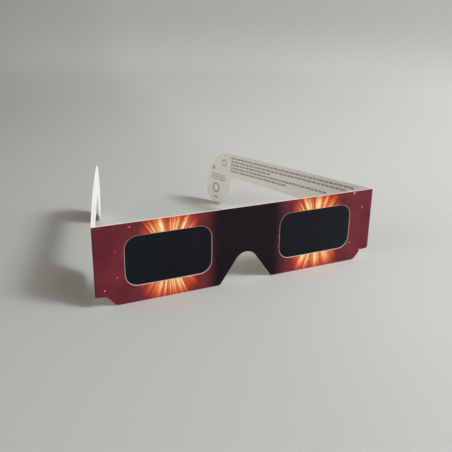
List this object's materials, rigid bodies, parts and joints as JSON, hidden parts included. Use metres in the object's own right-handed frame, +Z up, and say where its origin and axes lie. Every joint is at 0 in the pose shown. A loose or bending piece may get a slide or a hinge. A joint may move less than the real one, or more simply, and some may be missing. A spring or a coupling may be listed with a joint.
{
  "type": "paper eclipse glasses",
  "caption": "Folded paperboard viewer with dark film windows, a nose notch and fold-out temples that end in ear hooks.",
  "frame": {"origin": "middle of the footprint at rest, on the surface that the glasses stand on", "axes": "+X to the right as seen from the front, +Y back along the temples, +Z up; left is the -X side, as seen from the front"},
  "size_m": [0.1482, 0.1312, 0.038],
  "materials": {
    "printed_board": "satin",
    "white_board": "matte",
    "filter_film": "gloss",
    "glue": "satin"
  },
  "bodies": {
    "front": {"front_panel": "printed_board", "rear_panel": "white_board", "panel_adhesive": "glue", "left_filter": "filter_film", "right_filter": "filter_film", "left_filter_adhesive": "glue", "right_filter_adhesive": "glue", "left_crease": "printed_board", "right_crease": "printed_board"},
    "left_temple": {"left_temple": "printed_board"},
    "right_temple": {"right_temple": "printed_board"}
  },
  "joints": [
    {"name": "left_temple_fold", "type": "hinge", "parent": "front", "child": "left_temple", "pos_m": [-0.0733, -0.06485, 0.019], "axis": [0, 0, -1], "range_deg": [-106, 74], "deforming": ["left_crease"]},
    {"name": "right_temple_fold", "type": "hinge", "parent": "front", "child": "right_temple", "pos_m": [0.0733, -0.06485, 0.019], "axis": [0, 0, 1], "range_deg": [-104.9, 72.6], "deforming": ["right_crease"]}
  ]
}
